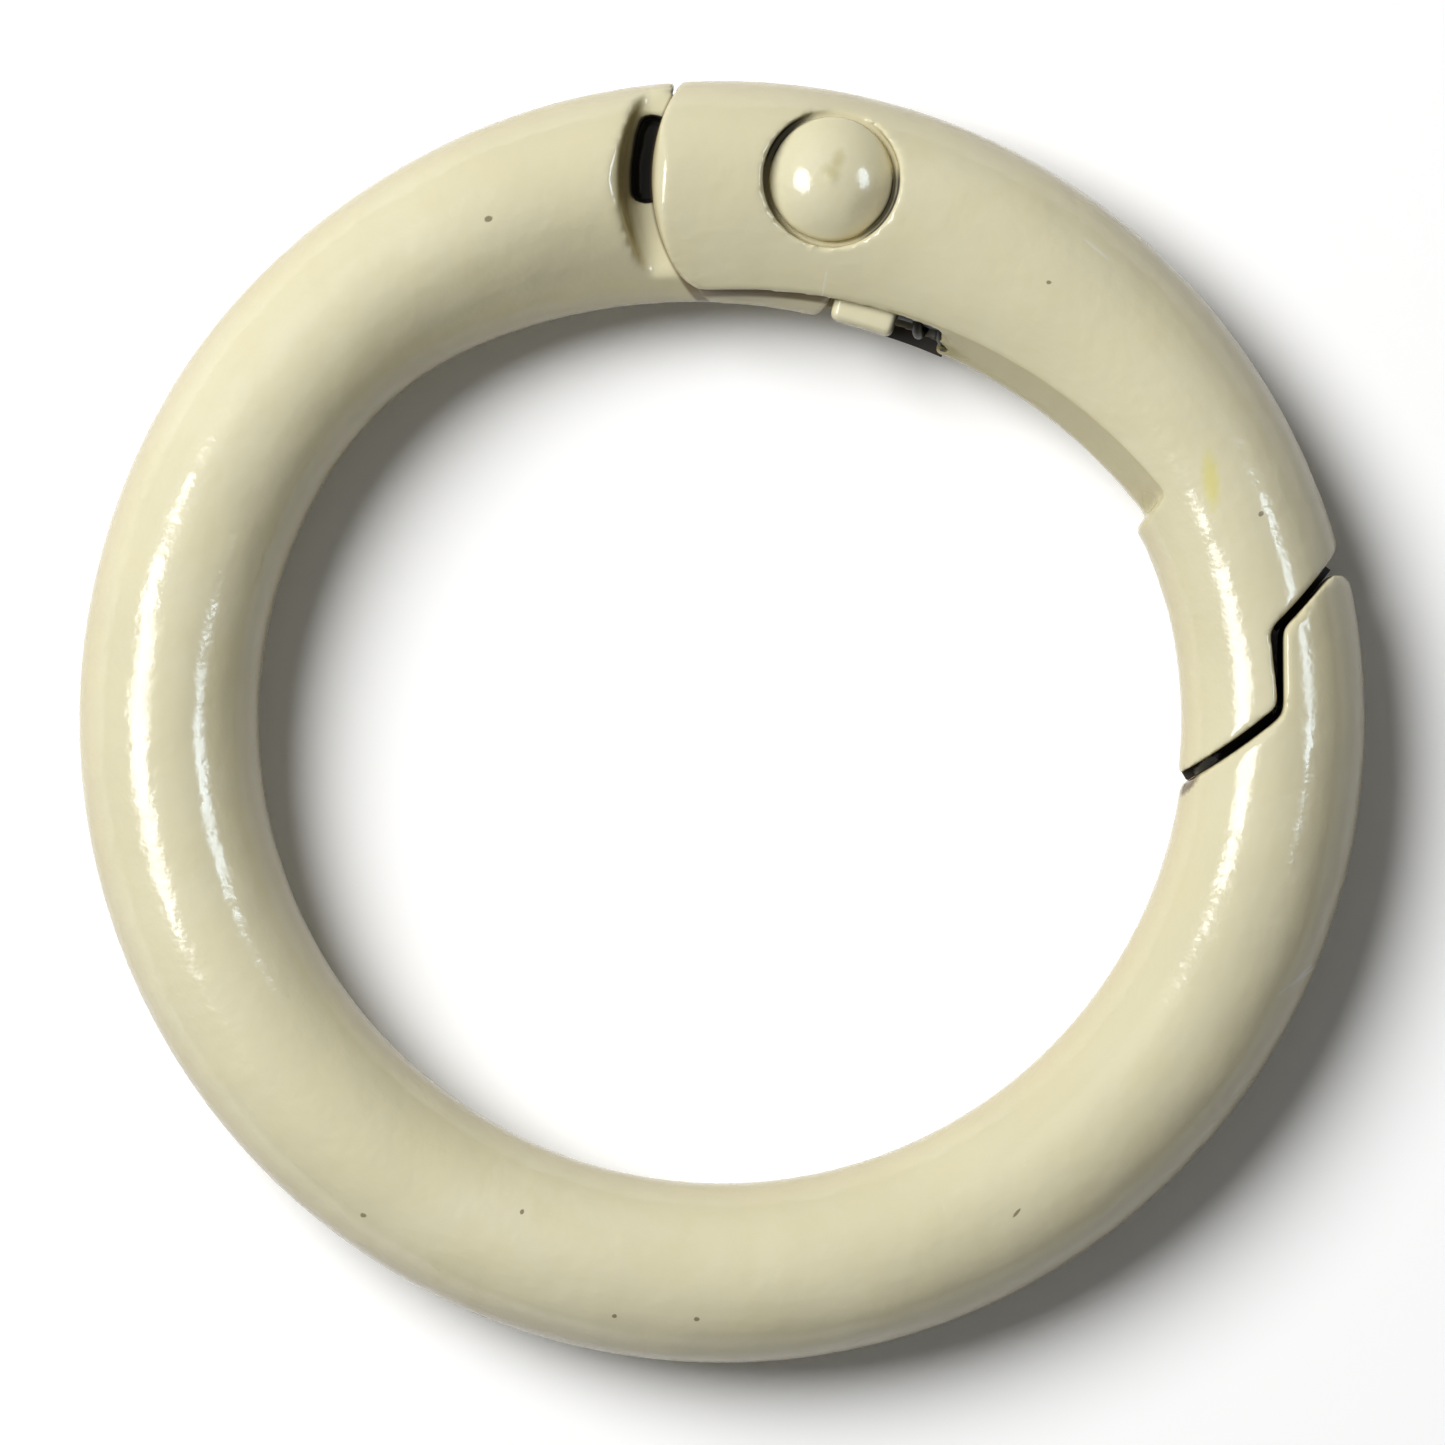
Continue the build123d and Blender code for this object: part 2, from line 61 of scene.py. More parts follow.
# Lamps: azimuth and zenith in degrees, size in metres, power in watts and colour.
LAMP_DISTANCE = 0.5
KEY_LEFT = (180, 39, (0.25, 0.20), 1.4, (0.96, 0.98, 1.0))
MAIN_SOFT = (147, 38, (0.32, 0.32), 2.85, (1.0, 1.0, 1.0))
FILL_RIGHT = (7, 43, (0.20, 0.10), 0.62, (0.74, 0.87, 1.0))
DAYLIGHT = (1.0, 1.0, 1.0, 1.0)
DAYLIGHT_STRENGTH = 0.12

# The table top: its half width, and how much light it gives back to the ring and to the eye.
FLOOR_REACH = 1.5
PAPER = (0.5, 0.5, 0.5, 1.0)
BRIGHT_PAPER = (1.08, 1.08, 1.08, 1.0)

# Colours, linear.
CREAM = (0.745, 0.703, 0.492)
CREAM_SHADE = (0.690, 0.645, 0.440)
CREAM_WARM = (0.710, 0.645, 0.405)
# Painted shade: the steep sides warmer and darker than the top.
SIDE_SHADE_CREAM = (0.640, 0.555, 0.320)
# Uncoated cut walls, also painted dark as the shade in the deep cuts.
BARE_METAL_SHADE = (0.105, 0.096, 0.080)
# Painted shade: near black in the slot, the spring's bore and bay, and on the dark strips.
BARE_DARK_SHADE = (0.030, 0.029, 0.026)
# Painted shade on the dark strips in the joint gaps.
BARE_BROWN_SHADE = (0.065, 0.045, 0.025)
STAIN_YELLOW = (0.72, 0.66, 0.17)
SPECK_BROWN = (0.30, 0.25, 0.15)
# Painted shade: the gate's steep inner wall darker olive.
STRIP_SHADE_OLIVE = (0.50, 0.44, 0.20)
# Painted shade on the coated cut walls by the hinge.
WALL_PAINTED_SHADE = (0.27, 0.23, 0.12)
SCRATCH_PALE = (0.74, 0.73, 0.62)
CHIP_WHITE = (0.80, 0.79, 0.72)
# Painted shade under the gate's cheeks and on the nose's side at the joint.
PAINTED_SHADE_BROWN = (0.16, 0.105, 0.045)
SMUDGE_OLIVE = (0.46, 0.40, 0.16)
# Painted shade on the rivet's head.
SHADE_BROWN = (0.36, 0.30, 0.20)
# Dark oiled steel, darkened further as painted shade in the bay.
SPRING_GREY_SHADE = (0.060, 0.056, 0.050)
SPRING_OIL_SHADE = (0.022, 0.020, 0.017)

# The enamel's surface: lump size and height of its three layers of unevenness, its gloss and its own colour.
GRAIN = (0.35 * MM, 0.007 * MM)
PEEL = (0.9 * MM, 0.030 * MM)
WAVES = (3.2 * MM, 0.10 * MM)
BROAD_MOTTLE = 7 * MM
BROAD_RANGE = (0.35, 0.68)
FINE_MOTTLE = 1.4 * MM
FINE_RANGE = (0.35, 0.75)
ENAMEL_IOR = 1.55
GLOSS_ROUGHNESS = 0.13
GLOSS_VARIATION = 0.10
DULL_ROUGHNESS = 0.4

# How far each tint covers the cream where it lies, and where the side's painted shade starts and ends on the
# normal.
WARM_SHARE = 0.5
SIDE_SHADE_SHARE = 0.8
WALL_SHADE_SHARE = 0.6
SHADE_LINE_SHARE = 0.8
SCRATCH_SHARE = 0.7
STRIP_SHADE_SHARE = 0.8
STAIN_SHARE = 0.6
PIN_SHADE_SHARE = 0.3
SMUDGE_SHARE = 0.5
SIDE_SHADE_STEEP = (0.80, 0.20)

# Marks on the upper side: middle, half length, half width in picture pixels, and turn in degrees.
RING_SPECKS = [
    ((490, 222), 4.5, 3.0, 20),
    ((365, 1213), 3.2, 2.4, 0),
    ((523, 1209), 2.8, 2.2, 60),
    ((697, 1316), 3.0, 2.4, 0),
    ((615, 1313), 2.6, 2.2, 0),
    ((1015, 1210), 6.0, 1.6, 50),
]
RING_SCRATCHES = [
    ((1295, 980), 24, 1.6, 35),
    ((1302, 972), 12, 1.2, 42),
]
GATE_SPECKS = [
    ((1047, 285), 2.8, 2.2, 0),
    ((1258, 515), 3.2, 2.4, 40),
]
GATE_SCRATCHES = [
    ((1095, 252), 19, 1.5, -40),
    ((824, 285), 15, 1.2, 80),
]
GATE_STAIN = ((1208, 482), 26, 8, 96)
NOSE_CHIP = ((1207, 765), 15, 6, 36)
# Painted shade on the nose's side of the joint.
NOSE_SHADE_WEDGE = ((1187, 784), 15, 5, 52)
PIN_SMUDGES = [
    ((831, 175), 9, 7, 0),
    ((837, 164), 10, 6, 70),
]
# Painted shade: the rivet head darker at its lower right.
PIN_SHADE = ((866, 203), 22, 11, 45)
MARK_EDGE = 0.95
MARK_SOFTNESS = 0.2
MARK_LUMP = 0.16 * MM
MARK_RAGGEDNESS = 0.9
STAIN_SOFTNESS = 0.6
WEDGE_SOFTNESS = 0.4
PIN_SOFTNESS = 0.8

# Cut walls: how deep they lie under the round section, and how steep they are.
RECESS_DEPTH = (0.10 * MM, 0.45 * MM)
RECESS_STEEP = (0.75, 0.45)
SOFT_EDGE = 0.05 * MM

# The rivet's seat: where the coating leaves its gap open and it gets painted shade, in degrees about the
# pivot.
SEAT_RADIUS = 1.86 * MM
SEAT_OPEN_UPPER = (95, 165)
SEAT_OPEN_LOWER = (-65, 5)
SEAT_OPEN_SOFTNESS = 8

# The slot beside the shoulder, and the layer of the tongue that the cheeks lie on.
SLOT_INNER_RADIUS = 4.30 * MM
SLOT_OUTER_RADIUS = 5.50 * MM
SLOT_LEFT_FROM = (-3.0 * MM, -3.4 * MM)
SLOT_LOW = -0.85 * MM
SLOT_HIGH = 1.95 * MM
HINGE_REACH = 8.0 * MM
TONGUE_HALF = 1.0 * MM

# The painted shade lines under the cheeks: along their round end and along the gate's inner wall.
CHEEK_RADIUS = 4.87 * MM
CHEEK_WALL_MIDDLE = Vector((0.41, -2.60, 2.435)) * MM
CHEEK_WALL_RADIUS = 14.22 * MM
CHEEK_SHADE = 0.22 * MM
END_LINE_FROM = (-1.0 * MM, -1.6 * MM)
WALL_LINE_FROM = (-3.9 * MM, -3.4 * MM)
WALL_LINE_TO = (7.5 * MM, 7.0 * MM)

# The painted shade in olive on the gate's drafted inner wall: its depth, and its span in degrees about the
# ring's axis.
STRIP_DEPTH = (1.3 * MM, 0.9 * MM)
STRIP_SPAN = (25.5, 68)
STRIP_SOFTNESS = 1.0
STRIP_STEEP = (0.66, 0.52)

# Dark strips shaped as casting flash, which stand in for the shade in the joint gaps and the bay: the arc
# that it grows from, the arc that it reaches, and its span in degrees.
NOSE_OUTER_FLASH = (17.037 * MM, 17.242 * MM, (-45.3, -37.9))
NOSE_INNER_FLASH = (18.711 * MM, 18.951 * MM, (-59.3, -50.3))
BAY_LIP = (14.60 * MM, 14.10 * MM, (66.2, 73.0))
BAY_LIP_MIDDLE = Vector((0.300, -3.000, 1.175)) * MM
FLASH_ROOT = 0.10 * MM
FLASH_THICKNESS = 0.18 * MM
FLASH_EDGE_SHARE = 0.4
FLASH_STEPS = 16

# The flash on the nose's side of the joint, a step lower, so that the two pass each other.
NOSE_SIDE_FLASH = (18.991 * MM, 18.930 * MM, (-59.2, -50.3))
NOSE_SIDE_MIDDLE = PIVOT - Vector((0, 0, 0.5)) * MM

# The line of the spring and the plunger: its direction, a point on it and the ends of the spring.
SPRING_TURN = -16.7
SPRING_LINE_POINT = Vector((2.191, 12.112, 2.435)) * MM
STEM_START = 2.72 * MM
BAY_STOP = 4.05 * MM
BAY_HALF_HEIGHT = 1.05 * MM
BAY_REACH = (1.9 * MM, 1.6 * MM)
BORE_RADIUS = 0.815 * MM
BORE_STOP = 8.8 * MM

# How finely each coat follows its node, in metres, and how often its edges are smoothed.
RING_COAT = (0.135 * MM, 4)
GATE_COAT = (0.088 * MM, 8)
PIN_COAT = (0.05 * MM, 24)
PLUNGER_COAT = (0.05 * MM, 4)
COAT_SMOOTHING = 0.5

# A point seen from above: its distance and offsets from an upright line, and its height off the middle plane.
Plan = namedtuple("Plan", "away x y height")

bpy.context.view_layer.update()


def photo_point(x, y):
    """The place on the ring's plane, in metres, of a pixel of the picture."""
    return Vector((
        (x - RING_CENTRE_PIXEL[0]) / PIXELS_PER_MM * MM,
        (RING_CENTRE_PIXEL[1] - y) / PIXELS_PER_MM * MM,
        0,
    ))


class Shader:
    """A material with its node tree, and short ways to add nodes to it."""

    def __init__(self, name):
        self.material = bpy.data.materials.new(name)
        self.material.use_nodes = True
        self.tree = self.material.node_tree
        self.surface = self.tree.nodes["Principled BSDF"]
        self.place = self.tree.nodes.new("ShaderNodeTexCoord").outputs["Object"]
        self.normal = self.tree.nodes.new("ShaderNodeNewGeometry").outputs["Normal"]

    def link(self, value, socket):
        """Links an output to a socket, or writes a plain value on the socket."""
        if isinstance(value, bpy.types.NodeSocket):
            self.tree.links.new(value, socket)
        else:
            socket.default_value = value

    def math(self, operation, first, second=0.0, third=0.0):
        step = self.tree.nodes.new("ShaderNodeMath")
        step.operation = operation
        self.link(first, step.inputs[0])
        self.link(second, step.inputs[1])
        self.link(third, step.inputs[2])
        return step.outputs[0]

    def vector_math(self, operation, first, second=(0, 0, 0), output="Vector"):
        step = self.tree.nodes.new("ShaderNodeVectorMath")
        step.operation = operation
        self.link(first, step.inputs[0])
        self.link(second, step.inputs[1])
        return step.outputs[output]

    def split(self, vector):
        parts = self.tree.nodes.new("ShaderNodeSeparateXYZ")
        self.link(vector, parts.inputs[0])
        return parts.outputs

    def product(self, first, *others):
        """All the values multiplied: where they are masks, 1 where every one of them is 1."""
        total = first
        for value in others:
            total = self.math("MULTIPLY", total, value)
        return total

    def either(self, first, second):
        """The larger of two masks."""
        return self.math("MAXIMUM", first, second)

    def without(self, mask):
        """1 where the mask is 0, 0 where it is 1."""
        return self.math("SUBTRACT", 1.0, mask)

    def length(self, x, y):
        """Length of a line with the offsets x and y."""
        return self.math("SQRT", self.math("ADD", self.math("MULTIPLY", x, x), self.math("MULTIPLY", y, y)))

    def turn(self, x, y):
        """Direction of the offsets x and y, in degrees counter-clockwise from +X."""
        return self.math("DEGREES", self.math("ARCTAN2", y, x))

    def upright(self, level, steep):
        """1 where the normal's upward part is down to steep, 0 where it is level or more."""
        return self.fade(self.math("ABSOLUTE", self.split(self.normal)[2]), level, steep)

    def fade(self, value, start, end):
        """0 where value is at start, 1 where it is at end, smooth between."""
        step = self.tree.nodes.new("ShaderNodeMapRange")
        step.interpolation_type = "SMOOTHSTEP"
        self.link(value, step.inputs["Value"])
        step.inputs["From Min"].default_value = start
        step.inputs["From Max"].default_value = end
        return step.outputs["Result"]

    def between(self, value, low, high, soft):
        """1 where value lies between low and high, 0 outside, with soft ends."""
        above = self.fade(value, low - soft, low + soft)
        return self.product(above, self.fade(value, high + soft, high - soft))

    def noise(self, size, detail=2.0, roughness=0.5, seed=0.0):
        """Soft noise from 0 to 1 whose lumps are about size metres across."""
        step = self.tree.nodes.new("ShaderNodeTexNoise")
        shifted = self.vector_math("ADD", self.place, (seed, seed * 0.7, seed * 1.3))
        self.link(shifted, step.inputs["Vector"])
        step.inputs["Scale"].default_value = 1 / size
        step.inputs["Detail"].default_value = detail
        step.inputs["Roughness"].default_value = roughness
        return step.outputs["Fac"]

    def mix(self, factor, first, second):
        step = self.tree.nodes.new("ShaderNodeMix")
        step.data_type = "RGBA"
        self.link(factor, step.inputs["Factor"])
        self.link(self.full(first), step.inputs[6])
        self.link(self.full(second), step.inputs[7])
        return step.outputs[2]

    def full(self, colour):
        """A colour that a colour socket takes: an output as it is, a plain colour with full cover."""
        return colour if isinstance(colour, bpy.types.NodeSocket) else (*colour, 1.0)

    def bump(self, height, distance, below=None):
        step = self.tree.nodes.new("ShaderNodeBump")
        step.inputs["Strength"].default_value = 1.0
        step.inputs["Distance"].default_value = distance
        self.link(height, step.inputs["Height"])
        if below is not None:
            self.link(below, step.inputs["Normal"])
        return step.outputs["Normal"]

    def oval(self, pixel, half_length, half_width, turn, softness=MARK_SOFTNESS):
        """1 on a ragged oval seen from above, at any height, 0 elsewhere."""
        middle = photo_point(*pixel)
        angle = math.radians(turn)
        length_step = PIXELS_PER_MM / (half_length * MM)
        width_step = PIXELS_PER_MM / (half_width * MM)
        from_middle = self.vector_math("SUBTRACT", self.place, tuple(middle))
        along = (math.cos(angle) * length_step, math.sin(angle) * length_step, 0)
        across = (-math.sin(angle) * width_step, math.cos(angle) * width_step, 0)
        u = self.vector_math("DOT_PRODUCT", from_middle, along, "Value")
        v = self.vector_math("DOT_PRODUCT", from_middle, across, "Value")
        lumps = self.noise(MARK_LUMP, 3.0, 0.65, pixel[0] * MM)
        ragged = self.math("MULTIPLY_ADD", lumps, MARK_RAGGEDNESS, -MARK_RAGGEDNESS / 2)
        away = self.math("ADD", self.length(u, v), ragged)
        return self.fade(away, MARK_EDGE + softness, MARK_EDGE - softness)

    def mark(self, pixel, half_length, half_width, turn, softness=MARK_SOFTNESS):
        """1 on a ragged oval mark on the upper side, 0 elsewhere."""
        upper = self.fade(self.split(self.place)[2], HALF_SECTION, HALF_SECTION + 0.5 * MM)
        return self.product(self.oval(pixel, half_length, half_width, turn, softness), upper)

    def marks(self, places, softness=MARK_SOFTNESS):
        """1 on any of several marks, 0 elsewhere."""
        total = self.mark(*places[0], softness)
        for place in places[1:]:
            total = self.either(total, self.mark(*place, softness))
        return total


def plan_distance(shader, middle):
    """The place of a point about the upright line through middle."""
    x, y, z = shader.split(shader.vector_math("SUBTRACT", shader.place, tuple(middle)))
    return Plan(shader.length(x, y), x, y, shader.math("ABSOLUTE", z))


def recess(shader):
    """1 on walls cut into the ring's round section, 0 on its outside: where the coating does not reach, and
    where the cuts get painted shade.
    """
    x, y, z = shader.split(shader.place)
    out = shader.math("SUBTRACT", shader.length(x, y), RING_RADIUS)
    up = shader.math("SUBTRACT", z, HALF_SECTION)
    depth = shader.math("SUBTRACT", HALF_SECTION, shader.length(out, up))
    return shader.product(shader.fade(depth, *RECESS_DEPTH), shader.upright(*RECESS_STEEP))


def coated_walls(shader):
    """1 near the hinge and above the tongue, where cut walls are coated too and get painted shade, 0
    elsewhere.
    """
    plan = plan_distance(shader, PIVOT)
    outside_head = shader.fade(plan.away, SEAT_RADIUS + 0.2 * MM, SEAT_RADIUS + 0.3 * MM)
    near = shader.fade(plan.away, HINGE_REACH, HINGE_REACH - 0.5 * MM)
    above_tongue = shader.fade(plan.height, TONGUE_HALF - SOFT_EDGE, TONGUE_HALF + 2 * SOFT_EDGE)
    return shader.product(outside_head, near, above_tongue)


def root_slot(shader):
    """1 in the slot beside the shoulder, 0 elsewhere."""
    plan = plan_distance(shader, PIVOT)
    band = shader.between(plan.away, SLOT_INNER_RADIUS, SLOT_OUTER_RADIUS, 0.06 * MM)
    sunk = shader.fade(plan.height, TONGUE_HALF - 0.10 * MM, TONGUE_HALF - 0.35 * MM)
    left = shader.fade(plan.x, *SLOT_LEFT_FROM)
    beside = shader.between(plan.y, SLOT_LOW, SLOT_HIGH, SOFT_EDGE)
    return shader.product(band, sunk, left, beside)


def along_spring(shader):
    """How far a point lies along the spring's line, and its distance from that line."""
    turn = math.radians(SPRING_TURN)
    direction = (math.cos(turn), math.sin(turn), 0)
    offset = shader.vector_math("SUBTRACT", shader.place, tuple(SPRING_LINE_POINT))
    along = shader.vector_math("DOT_PRODUCT", offset, direction, "Value")
    sideways = shader.vector_math("CROSS_PRODUCT", offset, direction)
    return along, shader.vector_math("LENGTH", sideways, output="Value")


def spring_room(shader):
    """1 on the walls round the spring, the bore and the bay behind the plunger, painted near black as bare
    metal in deep shade.
    """
    along, away = along_spring(shader)
    length = shader.between(along, STEM_START, BORE_STOP, 0.10 * MM)
    bore = shader.fade(away, BORE_RADIUS + 0.22 * MM, BORE_RADIUS + 0.08 * MM)
    height = plan_distance(shader, PIVOT).height
    bay = shader.product(
        shader.fade(height, BAY_HALF_HEIGHT + 0.12 * MM, BAY_HALF_HEIGHT),
        shader.fade(away, *BAY_REACH),
        shader.fade(along, BAY_STOP + 0.4 * MM, BAY_STOP),
    )
    return shader.product(length, shader.either(bore, bay))


def cheek_shade_line(shader):
    """1 on the tongue just under the edges of the gate's cheeks, where painted shade lies."""
    plan = plan_distance(shader, PIVOT)
    end_line = shader.product(
        shader.between(plan.away, CHEEK_RADIUS - CHEEK_SHADE, CHEEK_RADIUS + 0.04 * MM, SOFT_EDGE),
        shader.fade(plan.x, *END_LINE_FROM),
    )
    wall = plan_distance(shader, CHEEK_WALL_MIDDLE).away
    wall_line = shader.product(
        shader.between(wall, CHEEK_WALL_RADIUS - 0.10 * MM, CHEEK_WALL_RADIUS + CHEEK_SHADE, SOFT_EDGE),
        shader.fade(plan.x, *WALL_LINE_FROM),
        shader.fade(plan.away, *WALL_LINE_TO),
    )
    layer = shader.fade(plan.height, TONGUE_HALF + 0.12 * MM, TONGUE_HALF + 0.04 * MM)
    return shader.product(shader.either(end_line, wall_line), layer)


def filled_seat(shader):
    """1 where the coating has run into the gap round the rivet's head, 0 elsewhere."""
    plan = plan_distance(shader, PIVOT)
    near = shader.fade(plan.away, SEAT_RADIUS + 0.15 * MM, SEAT_RADIUS + 0.05 * MM)
    turn = shader.turn(plan.x, plan.y)
    upper = shader.between(turn, *SEAT_OPEN_UPPER, SEAT_OPEN_SOFTNESS)
    lower = shader.between(turn, *SEAT_OPEN_LOWER, SEAT_OPEN_SOFTNESS)
    return shader.product(near, shader.without(shader.either(upper, lower)))


def inner_strip_shade(shader):
    """1 on the gate's drafted inner wall, which gets painted shade in olive, 0 elsewhere."""
    wall = plan_distance(shader, CHEEK_WALL_MIDDLE).away
    deep, shallow = STRIP_DEPTH
    near_wall = shader.fade(wall, CHEEK_WALL_RADIUS + deep, CHEEK_WALL_RADIUS + shallow)
    x, y, _ = shader.split(shader.place)
    span = shader.between(shader.turn(x, y), *STRIP_SPAN, STRIP_SOFTNESS)
    return shader.product(shader.upright(*STRIP_STEEP), near_wall, span)


def uneven(shader, seed):
    """The enamel's normal, with fine grain, orange peel and broad waves."""
    grain = shader.bump(shader.noise(GRAIN[0], 2.0, 0.5, seed + 0.2), GRAIN[1])
    peel = shader.bump(shader.noise(PEEL[0], 3.0, 0.55, seed + 0.6), PEEL[1], grain)
    return shader.bump(shader.noise(WAVES[0], 1.0, 0.5, seed + 0.9), WAVES[1], peel)


def mottled_cream(shader, seed, fine):
    """Cream with broad and fine mottling, and painted shade that makes the steep sides warmer and darker."""
    broad = shader.fade(shader.noise(BROAD_MOTTLE, 2.0, 0.5, seed), *BROAD_RANGE)
    colour = shader.mix(broad, CREAM, CREAM_SHADE)
    colour = shader.mix(shader.product(fine, WARM_SHARE), colour, CREAM_WARM)
    # Painted shade on the steep sides.
    side = shader.product(shader.upright(*SIDE_SHADE_STEEP), SIDE_SHADE_SHARE)
    return shader.mix(side, colour, SIDE_SHADE_CREAM)


def enamel(name, seed, paint=None):
    """Thick cream gloss enamel with slight orange peel, soft mottling, painted shade on its cut walls, slot
    and spring bay, and its own marks.
    """
    shader = Shader(name)
    fine = shader.fade(shader.noise(FINE_MOTTLE, 4.0, 0.6, seed + 0.3), *FINE_RANGE)
    colour = mottled_cream(shader, seed, fine)
    cut = recess(shader)
    coated = coated_walls(shader)
    # Uncoated cut walls, darkened further as painted shade in the joint gaps and the seat's open gap.
    bare_and_shade = shader.product(cut, shader.without(coated), shader.without(filled_seat(shader)))
    room_shade = spring_room(shader)
    # Painted shade on the coated cut walls by the hinge, such as the shoulder's wall.
    colour = shader.mix(shader.product(cut, coated, WALL_SHADE_SHARE), colour, WALL_PAINTED_SHADE)
    colour = shader.mix(bare_and_shade, colour, BARE_METAL_SHADE)
    # Painted shade: the slot and the spring's bore and bay near black.
    colour = shader.mix(root_slot(shader), colour, BARE_DARK_SHADE)
    colour = shader.mix(room_shade, colour, BARE_DARK_SHADE)
    if paint is not None:
        colour = paint(shader, colour)
    shader.link(colour, shader.surface.inputs["Base Color"])
    shader.surface.inputs["IOR"].default_value = ENAMEL_IOR
    gloss = shader.math("MULTIPLY_ADD", fine, GLOSS_VARIATION, GLOSS_ROUGHNESS)
    rough = shader.math("MULTIPLY_ADD", shader.either(bare_and_shade, room_shade), DULL_ROUGHNESS, gloss)
    shader.link(rough, shader.surface.inputs["Roughness"])
    shader.link(uneven(shader, seed), shader.surface.inputs["Normal"])
    return shader.material


def ring_marks(shader, colour):
    """The ring's specks, two pale scratches, and painted shade: dark lines under the gate's cheeks and a
    brown wedge at the nose.
    """
    # Painted shade along the gate's cheek edges.
    colour = shader.mix(shader.product(cheek_shade_line(shader), SHADE_LINE_SHARE), colour, PAINTED_SHADE_BROWN)
    # Painted shade: a brown wedge on the nose beside the gate's tip.
    colour = shader.mix(shader.mark(*NOSE_SHADE_WEDGE, WEDGE_SOFTNESS), colour, PAINTED_SHADE_BROWN)
    colour = shader.mix(shader.marks(RING_SPECKS), colour, SPECK_BROWN)
    return shader.mix(shader.product(shader.marks(RING_SCRATCHES), SCRATCH_SHARE), colour, SCRATCH_PALE)


def gate_marks(shader, colour):
    """Painted olive shade on the gate's inner wall, specks, scratches, yellow stain and the chip at the nose
    joint.
    """
    colour = shader.mix(shader.product(inner_strip_shade(shader), STRIP_SHADE_SHARE), colour, STRIP_SHADE_OLIVE)
    colour = shader.mix(shader.marks(GATE_SPECKS), colour, SPECK_BROWN)
    colour = shader.mix(shader.product(shader.marks(GATE_SCRATCHES), SCRATCH_SHARE), colour, SCRATCH_PALE)
    stain = shader.product(shader.mark(*GATE_STAIN, STAIN_SOFTNESS), STAIN_SHARE)
    colour = shader.mix(stain, colour, STAIN_YELLOW)
    return shader.mix(shader.mark(*NOSE_CHIP), colour, CHIP_WHITE)


def pin_marks(shader, colour):
    """The olive smudges in the middle of the rivet's head and the painted brown shade at its lower right."""
    shade = shader.product(shader.mark(*PIN_SHADE, PIN_SOFTNESS), PIN_SHADE_SHARE)
    smudge = shader.product(shader.marks(PIN_SMUDGES, PIN_SOFTNESS), SMUDGE_SHARE)
    return shader.mix(smudge, shader.mix(shade, colour, SHADE_BROWN), SMUDGE_OLIVE)


def oiled_steel(name):
    """Dark oiled spring wire with fine drawing marks, made near black as painted shade in the bay."""
    shader = Shader(name)
    tone = shader.noise(0.25 * MM, 3.0, 0.6)
    shader.link(shader.mix(tone, SPRING_GREY_SHADE, SPRING_OIL_SHADE), shader.surface.inputs["Base Color"])
    shader.surface.inputs["Metallic"].default_value = 1.0
    shader.link(shader.math("MULTIPLY_ADD", tone, 0.25, 0.25), shader.surface.inputs["Roughness"])
    shader.link(shader.bump(tone, 0.004 * MM), shader.surface.inputs["Normal"])
    return shader.material


def bare_metal_shade(name):
    """Dull dark casting skin for the strips in the joint, painted shade in the gaps, with the pale chip at
    its inner end.
    """
    shader = Shader(name)
    tone = shader.noise(0.3 * MM, 3.0, 0.6)
    colour = shader.mix(tone, BARE_DARK_SHADE, BARE_BROWN_SHADE)
    colour = shader.mix(shader.oval(*NOSE_CHIP), colour, CHIP_WHITE)
    shader.link(colour, shader.surface.inputs["Base Color"])
    shader.link(shader.math("MULTIPLY_ADD", tone, 0.2, 0.55), shader.surface.inputs["Roughness"])
    return shader.material


def add_piece(name, mesh, material):
    """Puts a mesh into the scene with one material."""
    mesh.materials.clear()
    mesh.materials.append(material)
    piece = bpy.data.objects.new(name, mesh)
    bpy.context.scene.collection.objects.link(piece)
    return piece


def coil(node, material):
    """The spring's own form, between the plunger and the end of the gate's bore."""
    piece = add_piece(node + "_coil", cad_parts[node].data.copy(), material)
    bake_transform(piece)
    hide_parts(node)


def flash_points(middle, root, edge, span):
    """Corners of a strip of flash: four at each step of its arc, thick at the root and thin at the edge."""
    inside = root - math.copysign(FLASH_ROOT, edge - root)
    points = []
    for step in range(FLASH_STEPS + 1):
        turn = math.radians(span[0] + (span[1] - span[0]) * step / FLASH_STEPS)
        for radius, thickness in ((inside, FLASH_THICKNESS), (edge, FLASH_EDGE_SHARE * FLASH_THICKNESS)):
            for side in (-0.5, 0.5):
                offset = Vector((radius * math.cos(turn), radius * math.sin(turn), side * thickness))
                points.append(middle + offset)
    return points


def shade_flash_strip(name, body, slot, middle, root, edge, span, material):
    """A thin dark ridge shaped as casting flash on a body, put in a gap as painted shade, from one arc to
    another over a span of angles.
    """
    last = 4 * FLASH_STEPS
    faces = [(0, 1, 3, 2), (last, last + 2, last + 3, last + 1)]
    for low in range(0, last, 4):
        for a, b in ((0, 1), (1, 3), (3, 2), (2, 0)):
            faces.append((low + a, low + 4 + a, low + 4 + b, low + b))
    mesh = bpy.data.meshes.new(name)
    mesh.from_pydata(flash_points(middle, root, edge, span), [], faces)
    piece = add_piece(name, mesh, material)
    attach(piece, body)


